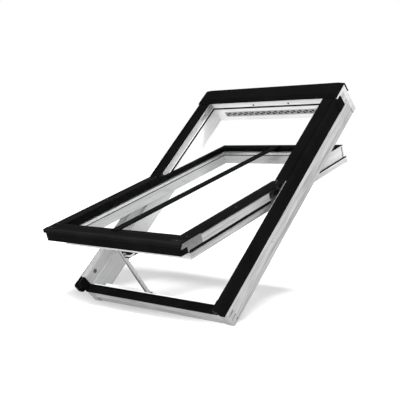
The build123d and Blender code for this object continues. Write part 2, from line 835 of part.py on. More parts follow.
# Top rail
with BuildPart() as sash_top_rail:
    with BuildSketch(along(SASH, -stile_inner)):
        Polygon(
            (top_rail_inner, sash_room_face),
            (sash_head, sash_room_face),
            (sash_head, upper_shoulder),
            (upper_body_head, upper_shoulder),
            (upper_body_head, upper_sash_front),
            (rebate_wall_head, upper_sash_front),
            (rebate_wall_head, glass_seat),
            (top_rail_inner, glass_seat),
            align=None,
        )
    extrude(amount=2 * stile_inner)
    with BuildSketch(along(SASH, -rebate_wall_half)):
        box_sketch((rebate_wall_head, upper_body_head), (glass_seat, upper_sash_front))
    extrude(amount=2 * rebate_wall_half)
write("sash_top_rail", sash_top_rail)

# Corner blocks at the lower ends of the stiles, each over a corner seal
corner_seal_high = 17.0
corner_block_front = 56.0
corner_seal_front = 36.0
corner_block_low = -12.0
with BuildPart() as corner_block_right:
    with BuildSketch(along(SASH, sash_half)):
        Polygon(
            (corner_block_low, corner_seal_front),
            (corner_seal_high, corner_seal_front),
            (corner_seal_high, shoulder),
            (corner_block_high, shoulder),
            (corner_block_high, corner_block_front),
            (corner_block_low, corner_block_front),
            align=None,
        )
    extrude(amount=lower_overlap)
write_pair("corner_block", corner_block_right)
with BuildPart() as corner_seal_right:
    with BuildSketch(along(SASH, sash_half)):
        box_sketch((corner_block_low, corner_seal_high), (shoulder, corner_seal_front))
    extrude(amount=lower_overlap)
write_pair("corner_seal", corner_seal_right)

# Seals: under the shoulder of the lower half, and let into the step of the upper half
sash_seal_gap = 0.5
seal_low_v = sill_plate_high + sheet
seal_half = shoulder_half - sash_seal_gap
with BuildPart() as sash_seal_right:
    with BuildSketch(across(SASH, shoulder_end)):
        box_sketch((sash_half + sash_seal_gap, seal_half), (stop_plane + sash_seal_gap, shoulder))
    extrude(amount=shoulder_end - sill_height - sash_seal_gap)
    with BuildSketch(across(SASH, sash_head)):
        box_sketch((upper_body_half, sash_half), (upper_shoulder - upper_seal_height, upper_shoulder))
    extrude(amount=sash_head - upper_seal_low)
write_pair("sash_seal", sash_seal_right)
with BuildPart() as sash_seal_bottom:
    with BuildSketch(along(SASH, -seal_half)):
        box_sketch((seal_low_v, sill_height - sill_bevel), (sill_top + sash_seal_gap, shoulder))
    extrude(amount=2 * seal_half)
write("sash_seal_bottom", sash_seal_bottom)

# Ribbed strips on the sides of the sash below the shoulder
sash_strip_height = 12.5
sash_strip_ribs = 4
sash_strip_high = stop_plane - sash_seal_gap
with BuildPart() as sash_strip_right:
    with BuildSketch(across(SASH, shoulder_end)):
        ribbed_sketch(sash_half, 1, sash_strip_high - sash_strip_height, sash_strip_high, sash_strip_ribs)
    extrude(amount=shoulder_end - bottom_rail_low)
write_pair("sash_strip", sash_strip_right)

# Double glazing
for pane_name, pane_low in (("glass_inner", glass_low), ("glass_outer", glass_high - pane)):
    with BuildPart() as sheet_of_glass:
        with BuildSketch(level(SASH, pane_low)):
            box_sketch((-glass_half, glass_half), (glass_foot, glass_head))
        extrude(amount=pane)
    write(pane_name, sheet_of_glass)
glass_spacer = ring(
    SASH,
    glass_half - spacer_margin,
    glass_foot + spacer_margin,
    glass_head - spacer_margin,
    spacer_width,
    glass_low + pane,
    glass_high - pane,
)
write("glass_spacer", glass_spacer)
glazing_tape = ring(SASH, glass_half, glass_foot, glass_head, glass_cover - tape, glass_seat, glass_low)
write("glazing_tape", glazing_tape)
glazing_gasket = ring(
    SASH,
    stile_inner + gasket_width,
    cover_inner_low - gasket_width,
    top_rail_inner + gasket_width,
    gasket_width,
    glass_high,
    lip_end,
)
write("glazing_gasket", glazing_gasket)

# Covers beside the lower half of the glass
web_u = sash_half - cover_gap
lip_low = lower_cover_front - cover_lip
with BuildPart() as cover_lower_right:
    with BuildSketch(across(SASH, cover_split)):
        box_sketch((stile_inner, lower_cover_half), (lower_cover_front - sheet, lower_cover_front))
        box_sketch((stile_inner, stile_inner + sheet), (lip_end, lower_cover_front))
        box_sketch((web_u - sheet, web_u), (lower_sash_front, lower_cover_front))
        box_sketch((lower_cover_half - sheet, lower_cover_half), (lip_low, lower_cover_front))
    extrude(amount=cover_split - cover_inner_low - cover_joint)
    with BuildSketch(across(SASH, cover_split)):
        box_sketch((upper_body_half, web_u), (lower_sash_front, lower_cover_front - sheet))
    extrude(amount=cover_split - shoulder_end, mode=Mode.SUBTRACT)
write_pair("sash_cover_lower", cover_lower_right)

# Bottom cover: it slopes down to a nose over a drip apron that is set back
nose_top = lower_cover_front - nose_drop
nose_low = nose_top - nose_height
apron_v = lower_cover_end + apron_setback
rail_web_v = sash_foot + sash_seal_gap
with BuildPart() as sash_cover_bottom:
    with BuildSketch(along(SASH, -lower_cover_half)):
        Polygon(
            (lower_cover_end, nose_low),
            (lower_cover_end, nose_top),
            (lower_cover_end + nose_depth, lower_cover_front),
            (cover_inner_low, lower_cover_front),
            (cover_inner_low, lower_cover_front - sheet),
            (lower_cover_end + nose_depth, lower_cover_front - sheet),
            (lower_cover_end + sheet, nose_top),
            (lower_cover_end + sheet, nose_low + sheet),
            (apron_v + sheet, nose_low + sheet),
            (apron_v + sheet, nose_low),
            align=None,
        )
    extrude(amount=2 * lower_cover_half)
    with BuildSketch(along(SASH, -stile_inner)):
        box_sketch((cover_inner_low - sheet, cover_inner_low), (lip_end, lower_cover_front))
        box_sketch((rail_web_v, rail_web_v + sheet), (lower_sash_front, lower_cover_front))
    extrude(amount=2 * stile_inner)
    with BuildSketch(along(SASH, apron_inset - lower_cover_half)):
        box_sketch((apron_v, apron_v + sheet), (apron_end, nose_low + sheet))
    extrude(amount=2 * (lower_cover_half - apron_inset))
    for side in (-1, 1):
        with BuildSketch(along(SASH, side * lower_cover_half)):
            Polygon(
                (lower_cover_end, nose_low),
                (lower_cover_end, nose_top),
                (lower_cover_end + nose_depth, lower_cover_front),
                (cover_inner_low, lower_cover_front),
                (cover_inner_low, lip_low),
                (lower_cover_end + nose_depth, lip_low),
                (apron_v + sheet, nose_low),
                align=None,
            )
        extrude(amount=-side * sheet)
write("sash_cover_bottom", sash_cover_bottom)

# Covers beside and above the upper half of the glass
upper_cover_front = upper_sash_front + sheet
with BuildPart() as cover_upper_right:
    with BuildSketch(across(SASH, upper_body_head)):
        box_sketch((stile_inner, upper_cover_half), (upper_sash_front, upper_cover_front))
        box_sketch((stile_inner, stile_inner + sheet), (lip_end, upper_cover_front))
    extrude(amount=upper_body_head - cover_split - cover_joint)
    with BuildSketch(across(SASH, upper_body_head)):
        box_sketch((stile_inner, stile_inner + sheet), (lip_end, upper_sash_front))
    extrude(amount=top_rail_width, mode=Mode.SUBTRACT)
write_pair("sash_cover_upper", cover_upper_right)
with BuildPart() as sash_cover_top:
    with BuildSketch(along(SASH, -stile_inner + cover_joint)):
        box_sketch((top_rail_inner, upper_body_head + cover_joint), (upper_sash_front, upper_cover_front))
        box_sketch((top_rail_inner, top_rail_inner + sheet), (lip_end, upper_cover_front))
    extrude(amount=2 * (stile_inner - cover_joint))
write("sash_cover_top", sash_cover_top)

# Glazing bar: flat bar from the bottom cover to the top cover
bar_head = top_rail_inner + bar_lap
with BuildPart() as glazing_bar:
    with BuildSketch(along(SASH, -bar_width / 2)):
        Polygon(
            (cover_inner_low - bar_lap, lower_cover_front),
            (cover_inner_low, lower_cover_front),
            (top_rail_inner, upper_cover_front),
            (bar_head, upper_cover_front),
            (bar_head, upper_cover_front + bar_thickness),
            (top_rail_inner, upper_cover_front + bar_thickness),
            (cover_inner_low, lower_cover_front + bar_thickness),
            (cover_inner_low - bar_lap, lower_cover_front + bar_thickness),
            align=None,
        )
    extrude(amount=bar_width)
write("glazing_bar", glazing_bar)

# Chain drive on the room side of the sill, with the chain coming out near its right end
drive_right = chain_u + drive_end_margin
drive_length = drive_right + reveal_half - drive_gap
mouth_width = 19.0
mouth_length = 18.0
mouth_depth = 20.0
drive_round = 5.0
outlet_rim = 2.0
outlet_height = 3.0
guide_height = 9.0
with BuildPart() as chain_drive:
    with BuildSketch(along(WINDOW, drive_right - drive_length)):
        box_sketch((sill_height, sill_height + drive_depth), (drive_low, outlet_w))
    extrude(amount=drive_length)
    fillet(chain_drive.edges().filter_by(Axis.X).sort_by(Axis.Y)[-2:], drive_round)
    with BuildSketch(level(WINDOW, outlet_w)):
        with Locations((chain_u, outlet_v)):
            Rectangle(mouth_width, mouth_length)
    extrude(amount=-mouth_depth, mode=Mode.SUBTRACT)
write("chain_drive", chain_drive)
with BuildPart() as chain_outlet:
    with BuildSketch(level(WINDOW, outlet_w)):
        with Locations((chain_u, outlet_v)):
            Rectangle(mouth_width + 2 * outlet_rim, mouth_length + 2 * outlet_rim)
            Rectangle(mouth_width, mouth_length, mode=Mode.SUBTRACT)
    extrude(amount=outlet_height)
    with BuildSketch(level(WINDOW, outlet_w)):
        with Locations((chain_u + (mouth_width + outlet_rim) / 2, outlet_v)):
            Rectangle(outlet_rim, mouth_length)
    extrude(amount=guide_height)
write("chain_outlet", chain_outlet)

# Push chain, drawn straight from the outlet to its pin on the open sash
outlet = WINDOW.from_local_coords((chain_u, outlet_v, outlet_w))
sash_pin = SASH.from_local_coords((chain_u, chain_pin_v, chain_pin_w))
chain_run = sash_pin - outlet
link_pitch = chain_run.length / chain_links
half_gap = link_gap / 2
plate_layers = [
    (0, half_gap),
    (0, -half_gap - link_plate),
    (1, half_gap + link_plate),
    (1, -half_gap - 2 * link_plate),
]
half_links = chain_links // 2
link_reach = (link_pitch + link_height) / 2
link_half = link_height / 2
pin_half = half_gap + 2 * link_plate + pin_head
with BuildPart() as drive_chain:
    for odd, offset_u in plate_layers:
        layer = Plane(origin=outlet + Vector(offset_u, 0, 0), x_dir=chain_run, z_dir=(1, 0, 0))
        with BuildSketch(layer):
            with Locations(((chain_links / 2 - 0.5 + odd) * link_pitch, 0)):
                with GridLocations(2 * link_pitch, 1, half_links, 1):
                    Polygon(
                        (-link_reach, -link_half + link_corner),
                        (-link_reach + link_corner, -link_half),
                        (link_reach - link_corner, -link_half),
                        (link_reach, -link_half + link_corner),
                        (link_reach, link_half - link_corner),
                        (link_reach - link_corner, link_half),
                        (-link_reach + link_corner, link_half),
                        (-link_reach, link_half - link_corner),
                        align=None,
                    )
        extrude(amount=link_plate)
    pin_plane = Plane(origin=outlet - Vector(pin_half, 0, 0), x_dir=chain_run, z_dir=(1, 0, 0))
    with BuildSketch(pin_plane):
        with Locations((chain_links / 2 * link_pitch, 0)):
            with GridLocations(link_pitch, 1, chain_links - 1, 1):
                RegularPolygon(chain_pin, 8)
    extrude(amount=2 * pin_half)
    with BuildSketch(along(SASH, chain_u - pin_half)):
        with Locations((chain_pin_v, chain_pin_w)):
            Circle(chain_pin + hinge_clearance)
    extrude(amount=2 * pin_half, mode=Mode.SUBTRACT)
write("drive_chain", drive_chain)

# Bracket under the bottom rail: base plate, fork for the end of the chain and a tapered web
bracket_plate = 3.0
bracket_left = -84.0
bracket_right = 62.0
bracket_low = 42.0
bracket_high = 64.0
fork_wall = 2.0
fork_gap = 1.0
fork_round = 6.0
fork_lap = 8.0
web_low = 60.0
web_thickness = 6.0
web_end = -63.0
web_shoulder = 9.0
web_left = -46.0
web_flat_left = -36.0
web_flat_right = -8.0
web_right = 52.0
web_foot = 8.0
handle_u = -24.0
handle_w = -48.0
handle_pin = 3.0
handle_pin_clearance = 0.1
fork_inside = pin_half + fork_gap
plate_face = sash_room_face - bracket_plate
with BuildPart() as chain_bracket:
    with BuildSketch(across(SASH, bracket_high)):
        box_sketch((bracket_left, bracket_right), (plate_face, sash_room_face))
    extrude(amount=bracket_high - bracket_low)
    with BuildSketch(across(SASH, bracket_high)):
        box_sketch((chain_u - fork_inside, chain_u + fork_inside), (plate_face, sash_room_face))
    extrude(amount=fork_lap, mode=Mode.SUBTRACT)
    with BuildSketch(across(SASH, web_low + web_thickness)):
        Polygon(
            (web_left, plate_face),
            (web_left, plate_face - web_shoulder),
            (web_flat_left, web_end),
            (web_flat_right, web_end),
            (web_right, plate_face - web_shoulder),
            (web_right + web_foot, plate_face),
            align=None,
        )
        with Locations((handle_u, handle_w)):
            Circle(handle_pin + handle_pin_clearance, mode=Mode.SUBTRACT)
    extrude(amount=web_thickness)
    for side in (-1, 1):
        with BuildSketch(along(SASH, chain_u + side * fork_inside)):
            with Locations((chain_pin_v, chain_pin_w)):
                Circle(fork_round)
            Polygon(
                (bracket_high - fork_lap, plate_face),
                (chain_pin_v, chain_pin_w - fork_round),
                (chain_pin_v, sash_room_face),
                (bracket_high - fork_lap, sash_room_face),
                align=None,
            )
        extrude(amount=side * fork_wall)
    with BuildSketch(along(SASH, chain_u - fork_inside)):
        with Locations((chain_pin_v, chain_pin_w)):
            Circle(chain_pin)
    extrude(amount=2 * fork_inside)
write("chain_bracket", chain_bracket)

# Release handle: curved lever on the down-slope side of the web
handle_thickness = 5.0
handle_eye = 9.0
handle_arm = 7.0
handle_reach = 56.0
handle_bow = -2.0
handle_rise = 12.0
with BuildPart() as release_handle:
    with BuildSketch(across(SASH, web_low - hinge_clearance)):
        with Locations((handle_u, handle_w)):
            Circle(handle_eye)
        with BuildLine():
            arm = ThreePointArc(
                (handle_u, handle_w),
                (handle_u + handle_reach / 2, handle_w + handle_bow),
                (handle_u + handle_reach, handle_w + handle_rise),
            )
        SlotArc(arm, handle_arm)
    extrude(amount=handle_thickness)
    with BuildSketch(across(SASH, web_low + web_thickness)):
        with Locations((handle_u, handle_w)):
            Circle(handle_pin)
    extrude(amount=web_thickness + hinge_clearance)
write("release_handle", release_handle)
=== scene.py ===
import bpy
import bmesh
import json
import math
from mathutils import Matrix, Vector


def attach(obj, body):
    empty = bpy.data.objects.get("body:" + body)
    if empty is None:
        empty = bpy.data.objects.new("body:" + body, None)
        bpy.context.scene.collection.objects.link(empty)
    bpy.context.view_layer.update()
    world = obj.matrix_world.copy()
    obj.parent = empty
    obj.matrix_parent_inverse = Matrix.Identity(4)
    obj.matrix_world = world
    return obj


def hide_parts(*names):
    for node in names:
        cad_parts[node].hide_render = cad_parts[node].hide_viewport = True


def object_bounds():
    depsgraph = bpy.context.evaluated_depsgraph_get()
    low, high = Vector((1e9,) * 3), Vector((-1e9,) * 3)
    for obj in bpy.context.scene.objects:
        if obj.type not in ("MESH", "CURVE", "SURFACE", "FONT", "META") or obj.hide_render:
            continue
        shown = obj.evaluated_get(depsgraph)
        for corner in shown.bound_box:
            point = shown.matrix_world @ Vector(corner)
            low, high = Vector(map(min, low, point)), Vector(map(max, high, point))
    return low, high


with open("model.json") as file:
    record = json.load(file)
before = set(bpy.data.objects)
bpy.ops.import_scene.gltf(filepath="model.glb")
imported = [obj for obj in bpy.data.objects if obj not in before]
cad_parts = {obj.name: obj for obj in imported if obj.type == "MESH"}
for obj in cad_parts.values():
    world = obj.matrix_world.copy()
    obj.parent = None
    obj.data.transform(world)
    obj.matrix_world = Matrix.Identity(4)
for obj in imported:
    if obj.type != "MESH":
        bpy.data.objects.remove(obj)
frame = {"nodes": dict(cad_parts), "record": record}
nodes = frame["nodes"]
cad_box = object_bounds()

# Coordinates of the window: u across, v up the slope, w outward, in metres
ROOF_PITCH = math.radians(45.0)
SASH_PITCH = math.radians(18.0)
WINDOW = Matrix.Rotation(ROOF_PITCH, 4, "X")
PIVOT = (0.0, 0.5935, 0.080)
SASH = (
    Matrix.Translation(WINDOW @ Vector(PIVOT))
    @ Matrix.Rotation(SASH_PITCH, 4, "X")
    @ Matrix.Translation(-Vector(PIVOT))
)

scene = bpy.context.scene

# Timber: its back and front in w, and the part of the slope over which the painted shade towards the sill
# fades out
TIMBER_BACK = -0.08
TIMBER_FRONT = 0.06
PAINTED_SHADE_BELOW = 0.3
UNSHADED_ABOVE = 0.6

# Texture scales: without a direction, and for drawn lines along the width
EVEN = (1.0, 1.0, 1.0)
BRUSHED = (200.0, 900.0, 900.0)
SATIN = (900.0, 900.0, 900.0)

# Colours that are used as they are
WHITE = (1.0, 1.0, 1.0, 1.0)
GLASS_TINT = (0.955, 0.959, 0.957, 1.0)

# Share of light that glass reflects, seen face on and at a grazing angle
GLASS_GLOSS = (0.01, 0.08)

# Camera at the photograph's viewing angle: sensor in millimetres, focal length and picture in pixels
SENSOR = 36.0
FOCAL_PIXELS = 797.0
PICTURE_PIXELS = 400.0
VIEWPOINT = (2.2000, -2.1690, 0.5870)
VIEW_DIRECTION = (-0.664805, 0.744390, -0.062591)
camera_data = bpy.data.cameras.new("camera")
camera = bpy.data.objects.new("camera", camera_data)
scene.collection.objects.link(camera)
camera_data.sensor_width = SENSOR
camera_data.lens = SENSOR * FOCAL_PIXELS / PICTURE_PIXELS
camera_data.clip_end = 60.0
camera.location = VIEWPOINT
camera.rotation_euler = Vector(VIEW_DIRECTION).to_track_quat("-Z", "Y").to_euler()
scene.camera = camera


def node_of(tree, kind, **values):
    """A shader node with some of its inputs or settings filled in."""
    node = tree.nodes.new(kind)
    for key, value in values.items():
        if key in node.inputs:
            node.inputs[key].default_value = value
        else:
            setattr(node, key, value)
    return node


def surface(name, color, roughness, metallic=0.0, specular=0.5):
    """A material with a Principled shader, ready for textures."""
    material = bpy.data.materials.new(name)
    material.use_nodes = True
    tree = material.node_tree
    shader = tree.nodes["Principled BSDF"]
    shader.inputs["Base Color"].default_value = (*color, 1.0)
    shader.inputs["Roughness"].default_value = roughness
    shader.inputs["Metallic"].default_value = metallic
    shader.inputs["Specular IOR Level"].default_value = specular
    return material, tree, shader


def coordinates(tree, turn, scale):
    """Object coordinates turned into the piece's own directions and scaled."""
    source = tree.nodes.new("ShaderNodeTexCoord")
    turned = tree.nodes.new("ShaderNodeMapping")
    turned.inputs["Rotation"].default_value = (turn, 0.0, 0.0)
    tree.links.new(source.outputs["Object"], turned.inputs["Vector"])
    scaled = tree.nodes.new("ShaderNodeMapping")
    scaled.inputs["Scale"].default_value = scale
    tree.links.new(turned.outputs["Vector"], scaled.inputs["Vector"])
    return scaled.outputs["Vector"]


def noise(tree, vector, scale, detail=4.0, roughness=0.55):
    """The value of a noise texture."""
    texture = node_of(tree, "ShaderNodeTexNoise", Scale=scale, Detail=detail, Roughness=roughness)
    tree.links.new(vector, texture.inputs["Vector"])
    return texture.outputs["Fac"]


def ramp(tree, factor, stops):
    """Colour ramp with (place, colour) stops."""
    node = tree.nodes.new("ShaderNodeValToRGB")
    elements = node.color_ramp.elements
    while len(elements) < len(stops):
        elements.new(0.5)
    for element, (place, color) in zip(elements, stops):
        element.position = place
        element.color = (*color, 1.0)
    tree.links.new(factor, node.inputs["Fac"])
    return node.outputs["Color"]


def grey(value, tint=0.0):
    """A grey, made a little warmer by the tint."""
    return (value, value, value - tint)


def bump(tree, shader, height, strength, distance):
    """Let a height texture roughen a surface."""
    node = node_of(tree, "ShaderNodeBump", Strength=strength, Distance=distance)
    tree.links.new(height, node.inputs["Height"])
    tree.links.new(node.outputs["Normal"], shader.inputs["Normal"])


def mix_colors(tree, factor, first, second, blend="MIX"):
    """Two colours mixed by a number or by a texture."""
    node = tree.nodes.new("ShaderNodeMix")
    node.data_type = "RGBA"
    node.blend_type = blend
    if isinstance(factor, float):
        node.inputs["Factor"].default_value = factor
    else:
        tree.links.new(factor, node.inputs["Factor"])
    tree.links.new(first, node.inputs["A"])
    tree.links.new(second, node.inputs["B"])
    return node.outputs["Result"]


def compare(tree, value, operation, threshold):
    """1 where a value is beyond the threshold, else 0."""
    node = node_of(tree, "ShaderNodeMath", operation=operation)
    tree.links.new(value, node.inputs[0])
    node.inputs[1].default_value = threshold
    return node.outputs["Value"]


def either(tree, first, second):
    """The larger of two values."""
    node = node_of(tree, "ShaderNodeMath", operation="MAXIMUM")
    tree.links.new(first, node.inputs[0])
    tree.links.new(second, node.inputs[1])
    return node.outputs["Value"]


def map_range(tree, value, source=(0.0, 1.0), target=(0.0, 1.0), shape="LINEAR"):
    """A value carried from one range to another."""
    node = node_of(tree, "ShaderNodeMapRange", interpolation_type=shape)
    for key, limit in zip(("From Min", "From Max", "To Min", "To Max"), (*source, *target)):
        node.inputs[key].default_value = limit
    tree.links.new(value, node.inputs["Value"])
    return node.outputs["Result"]


def seen_rays(tree):
    """1 for rays from the camera, from a mirroring surface or through glass, else 0."""
    rays = tree.nodes.new("ShaderNodeLightPath")
    indirect = either(tree, rays.outputs["Is Glossy Ray"], rays.outputs["Is Transmission Ray"])
    return either(tree, rays.outputs["Is Camera Ray"], indirect)


def outside(tree, turn, half, v_range):
    """1 on the outer sides of the timber, else 0, and the places up the slope and across its thickness."""
    parts = tree.nodes.new("ShaderNodeSeparateXYZ")
    tree.links.new(coordinates(tree, turn, EVEN), parts.inputs["Vector"])
    width = node_of(tree, "ShaderNodeMath", operation="ABSOLUTE")
    tree.links.new(parts.outputs["X"], width.inputs[0])
    sides = compare(tree, width.outputs["Value"], "GREATER_THAN", half)
    low = compare(tree, parts.outputs["Y"], "LESS_THAN", v_range[0])
    high = compare(tree, parts.outputs["Y"], "GREATER_THAN", v_range[1])
    return either(tree, sides, either(tree, low, high)), parts.outputs["Y"], parts.outputs["Z"]


def timber(name, turn, along_slope, base, bare, half, v_range, low_shade_share=1.0):
    """White painted softwood, with thinly primed laminated wood on its outer sides.

    Towards the sill the paint is darkened by the given share of its brightness: painted shade."""
    material, tree, shader = surface(name, grey(base), 0.42)
    long_scale = (170.0, 5.0, 170.0) if along_slope else (5.0, 170.0, 170.0)
    fine_scale = (900.0, 22.0, 900.0) if along_slope else (22.0, 900.0, 900.0)
    blotch_scale = (14.0, 14.0, 14.0)
    streaks = noise(tree, coordinates(tree, turn, long_scale), 1.0, 6.0, 0.62)
    fibres = noise(tree, coordinates(tree, turn, fine_scale), 1.0, 3.0, 0.5)
    blotches = noise(tree, coordinates(tree, turn, blotch_scale), 1.0, 3.0)
    paint = ramp(
        tree,
        streaks,
        [
            (0.3, grey(base - 0.16, 0.004)),
            (0.46, grey(base - 0.03, 0.002)),
            (0.56, grey(base)),
            (0.75, grey(base + 0.03)),
        ],
    )
    primer = ramp(
        tree,
        streaks,
        [(0.3, grey(bare - 0.24)), (0.43, grey(bare - 0.1)), (0.54, grey(bare)), (0.7, grey(bare + 0.12))],
    )
    speckle = ramp(tree, fibres, [(0.35, grey(0.86)), (0.6, grey(1.0))])
    outer, height, depth = outside(tree, turn, half, v_range)
    # Painted shade: the paint grows darker towards the sill
    painted_shade = map_range(tree, height, (PAINTED_SHADE_BELOW, UNSHADED_ABOVE), (low_shade_share, 1.0))
    paint = mix_colors(tree, 1.0, paint, painted_shade, "MULTIPLY")
    layers = ramp(
        tree,
        map_range(tree, depth, (TIMBER_BACK, TIMBER_FRONT)),
        [
            (0.0, grey(0.84)), (0.222, grey(0.8)), (0.232, grey(0.98)), (0.43, grey(0.94)),
            (0.445, grey(0.78)), (0.46, grey(1.02)), (0.75, grey(1.04)), (1.0, grey(1.0)),
        ],
    )
    primer = mix_colors(tree, 1.0, mix_colors(tree, 1.0, primer, speckle, "MULTIPLY"), layers, "MULTIPLY")
    cloud = ramp(tree, blotches, [(0.3, grey(0.93)), (0.7, grey(1.0))])
    color = mix_colors(tree, 1.0, mix_colors(tree, outer, paint, primer), cloud, "MULTIPLY")
    tree.links.new(color, shader.inputs["Base Color"])
    sheen = ramp(tree, streaks, [(0.3, grey(0.55)), (0.7, grey(0.38))])
    tree.links.new(sheen, shader.inputs["Roughness"])
    bump(tree, shader, fibres, 0.35, 0.0006)
    return material


def coated_metal(name, base, roughness):
    """Matt powder coat: fine orange peel and a faint cloudiness in its gloss."""
    material, tree, shader = surface(name, grey(base), roughness, specular=0.004)
    peel = noise(tree, coordinates(tree, 0.0, EVEN), 1400.0, 2.0)
    cloud = noise(tree, coordinates(tree, 0.0, EVEN), 9.0, 4.0)
    color = ramp(tree, cloud, [(0.3, grey(base * 0.8)), (0.7, grey(base * 1.35))])
    sheen = ramp(tree, cloud, [(0.3, grey(roughness - 0.06)), (0.7, grey(roughness + 0.08))])
    tree.links.new(color, shader.inputs["Base Color"])
    tree.links.new(sheen, shader.inputs["Roughness"])
    bump(tree, shader, peel, 0.12, 0.0003)
    return material


def moulded(name, base, roughness, contrast=0.12, specular=0.45):
    """Fine-grained moulded plastic or rubber."""
    material, tree, shader = surface(name, grey(base), roughness, specular=specular)
    grain = noise(tree, coordinates(tree, 0.0, EVEN), 2200.0, 2.0)
    cloud = noise(tree, coordinates(tree, 0.0, EVEN), 40.0, 4.0)
    color = ramp(tree, cloud, [(0.3, grey(base * (1 - contrast))), (0.7, grey(base * (1 + contrast)))])
    tree.links.new(color, shader.inputs["Base Color"])
    bump(tree, shader, grain, 0.2, 0.0003)
    return material


def plated(name, base, roughness, turn, scale):
    """Zinc-plated or drawn metal with fine lines along its length."""
    material, tree, shader = surface(name, grey(base), roughness, metallic=1.0)
    lines = noise(tree, coordinates(tree, turn, scale), 1.0, 3.0)
    spots = noise(tree, coordinates(tree, 0.0, EVEN), 120.0, 4.0)
    color = ramp(tree, spots, [(0.35, grey(base * 0.82)), (0.7, grey(base * 1.12))])
    sheen = ramp(tree, lines, [(0.3, grey(roughness - 0.08)), (0.7, grey(roughness + 0.12))])
    tree.links.new(color, shader.inputs["Base Color"])
    tree.links.new(sheen, shader.inputs["Roughness"])
    bump(tree, shader, lines, 0.15, 0.0003)
    return material


def clear_glass(name):
    """Clear float glass: see-through, with a faint tint and a reflection that grows at grazing angles."""
    material, tree, _ = surface(name, grey(1.0), 0.02)
    output = tree.nodes["Material Output"]
    clear = tree.nodes.new("ShaderNodeBsdfTransparent")
    clear.inputs["Color"].default_value = GLASS_TINT
    gloss = node_of(tree, "ShaderNodeBsdfGlossy", Roughness=0.015)
    gloss.inputs["Color"].default_value = WHITE
    facing = node_of(tree, "ShaderNodeLayerWeight", Blend=0.5)
    grazing = node_of(tree, "ShaderNodeMath", operation="POWER")
    grazing.inputs[1].default_value = 4.0
    tree.links.new(facing.outputs["Facing"], grazing.inputs[0])
    mixed = tree.nodes.new("ShaderNodeMixShader")
    tree.links.new(map_range(tree, grazing.outputs["Value"], target=GLASS_GLOSS), mixed.inputs["Fac"])
    tree.links.new(clear.outputs["BSDF"], mixed.inputs[1])
    tree.links.new(gloss.outputs["BSDF"], mixed.inputs[2])
    tree.links.new(mixed.outputs["Shader"], output.inputs["Surface"])
    return material


FRAME_TURN = -ROOF_PITCH
SASH_TURN = -SASH_PITCH

# Timber: half widths and ranges up the slope beyond which it is only primed
FRAME_PAINTED = 0.3845
SASH_PAINTED = 0.3415
HEAD_PAINTED = 1.159
JAMB_RANGE = (-1.0, HEAD_PAINTED)
SILL_RANGE = (0.0035, HEAD_PAINTED)
SASH_RANGE = (-9.0, 9.0)

# Brightness of paint and primer, and the share of the paint's brightness that the jambs keep towards the sill
# under painted shade
FRAME_PAINT = 0.92
# The sash paint is a light grey, darker than white paint: painted shade over the whole sash, for its sides
# under the glass
SASH_PAINT_SHADED = 0.55
JAMB_PRIMER = 0.41
SILL_PRIMER = 0.53
SASH_PRIMER = 0.5
LOW_SHADE_SHARE = 0.38

looks = {
    "frame_jamb": timber(
        "frame_timber_long", FRAME_TURN, True, FRAME_PAINT, JAMB_PRIMER, FRAME_PAINTED, JAMB_RANGE, LOW_SHADE_SHARE
    ),
    "frame_sill": timber(
        "frame_timber_cross", FRAME_TURN, False, FRAME_PAINT, SILL_PRIMER, FRAME_PAINTED, SILL_RANGE
    ),
    "sash_stile": timber(
        "sash_timber_long", SASH_TURN, True, SASH_PAINT_SHADED, SASH_PRIMER, SASH_PAINTED, SASH_RANGE
    ),
    "sash_rail": timber(
        "sash_timber_cross", SASH_TURN, False, SASH_PAINT_SHADED, SASH_PRIMER, SASH_PAINTED, SASH_RANGE
    ),
    "black_cladding": coated_metal("black_cladding", base=0.0036, roughness=0.55),
    "black_rubber": moulded("black_rubber", base=0.004, roughness=0.7, specular=0.02),
    "grey_rubber": moulded("grey_rubber", base=0.42, roughness=0.6),
    "grey_plastic": moulded("grey_plastic", base=0.16, roughness=0.5),
    "white_plastic": moulded("white_plastic", base=0.75, roughness=0.4, contrast=0.04),
    "black_plastic": moulded("black_plastic", base=0.006, roughness=0.5, specular=0.03),
    "dark_steel": plated("dark_steel", base=0.09, roughness=0.4, turn=SASH_TURN, scale=BRUSHED),
    "steel": plated("steel", base=0.42, roughness=0.34, turn=FRAME_TURN, scale=BRUSHED),
    # Dark end grain, deepened as painted shade of the tenon recesses
    "end_grain_and_shade": moulded("end_grain_and_shade", base=0.3, roughness=0.7, contrast=0.35, specular=0.1),
    "grille": moulded("grille", base=0.4, roughness=0.45, contrast=0.04),
    # Lighter black for the cover trim: painted highlight
    "cladding_highlight": coated_metal("cladding_highlight", base=0.0085, roughness=0.5),
    "bush": moulded("bush", base=0.1, roughness=0.5),
    "filter_fleece_shaded": moulded("filter_fleece_shaded", base=0.012, roughness=0.9, contrast=0.4, specular=0.02),
    "black_screw": moulded("black_screw", base=0.012, roughness=0.35, contrast=0.2, specular=0.3),
    "spacer": plated("spacer", base=0.6, roughness=0.35, turn=SASH_TURN, scale=SATIN),
    "glass": clear_glass("clear_glass"),
}

# Nodes with a look other than their material's usual one
OWN_LOOKS = {
    "frame_screws": "dark_steel",
    "head_buffers": "black_rubber",
    "vent_grille": "grille",
    "bolt_bush_right": "bush",
    "bolt_bush_left": "bush",
}


def look_of(name, slot):
    """The material of a node, by its name and material slot."""
    if name in OWN_LOOKS:
        return looks[OWN_LOOKS[name]]
    if slot != "painted_timber":
        return looks[slot]
    if name.startswith("frame_jamb"):
        return looks["frame_jamb"]
    if name.startswith("frame"):
        return looks["frame_sill"]
    return looks["sash_stile"] if "stile" in name else looks["sash_rail"]


for part in frame["record"]["subparts"]:
    target = nodes[part["node"]]
    material = look_of(part["node"], part["material_slot"])
    if not target.material_slots:
        target.data.materials.append(material)
    for material_slot in target.material_slots:
        material_slot.material = material


